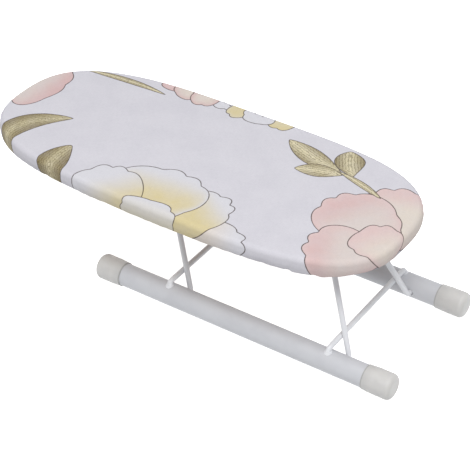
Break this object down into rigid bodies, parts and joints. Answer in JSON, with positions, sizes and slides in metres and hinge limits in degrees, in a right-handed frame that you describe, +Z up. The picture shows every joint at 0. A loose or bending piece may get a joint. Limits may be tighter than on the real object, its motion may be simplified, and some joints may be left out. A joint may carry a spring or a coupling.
{
  "type": "tabletop ironing board",
  "caption": "Mini tabletop ironing board: padded rounded top in a floral cotton cover, on folding wire legs hinged in two capped base tubes.",
  "frame": {"origin": "middle of the bounding box at table height", "axes": "+Z up, +X along the board away from the nose, -Y the front"},
  "size_m": [0.5221, 0.211, 0.1404],
  "materials": {
    "tube_coat": "satin powder coat, cool light grey white",
    "wire_coat": "satin powder coat, white",
    "cap_plastic": "milky, slightly translucent",
    "fibreboard": "smooth brown fibreboard",
    "foam": "open-cell foam",
    "felt": "needle felt",
    "printed_cotton": "plain weave with a floral print",
    "elastic_cord": "braided",
    "zinc_steel": "bright zinc plate",
    "spring_steel": "phosphated spring steel"
  },
  "bodies": {
    "base": {"front_rail": "tube_coat", "rear_rail": "tube_coat", "front_left_cap": "cap_plastic", "front_right_cap": "cap_plastic", "rear_left_cap": "cap_plastic", "rear_right_cap": "cap_plastic", "left_brace": "wire_coat", "right_brace": "wire_coat", "brace_welds": "wire_coat"},
    "right_leg": {"right_leg_frame": "wire_coat", "right_foot_clips": "spring_steel"},
    "left_leg": {"left_leg_frame": "wire_coat", "left_foot_clips": "spring_steel"},
    "board": {"board_panel": "fibreboard", "foam_pad": "foam", "felt_layer": "felt", "cotton_cover": "printed_cotton", "hem_elastic": "elastic_cord", "left_front_saddle": "zinc_steel", "left_rear_saddle": "zinc_steel", "right_front_saddle": "zinc_steel", "right_rear_saddle": "zinc_steel", "saddle_screws": "zinc_steel"}
  },
  "joints": [
    {"name": "right_leg_hinge", "type": "hinge", "parent": "base", "child": "right_leg", "pos_m": [0.1997, 0, 0.014], "axis": [0, 1, 0], "range_deg": [0, 105]},
    {"name": "left_leg_hinge", "type": "hinge", "parent": "base", "child": "left_leg", "pos_m": [0.0052, 0, 0.014], "axis": [0, 1, 0], "range_deg": [0, 105]},
    {"name": "board_hinge", "type": "hinge", "parent": "right_leg", "child": "board", "pos_m": [0.14997, 0, 0.1221], "axis": [0, 1, 0], "range_deg": [-105, 0]}
  ],
  "couplings": [
    {"joint": "left_leg_hinge", "follows": "right_leg_hinge", "ratio": 1},
    {"joint": "board_hinge", "follows": "right_leg_hinge", "ratio": -1}
  ]
}
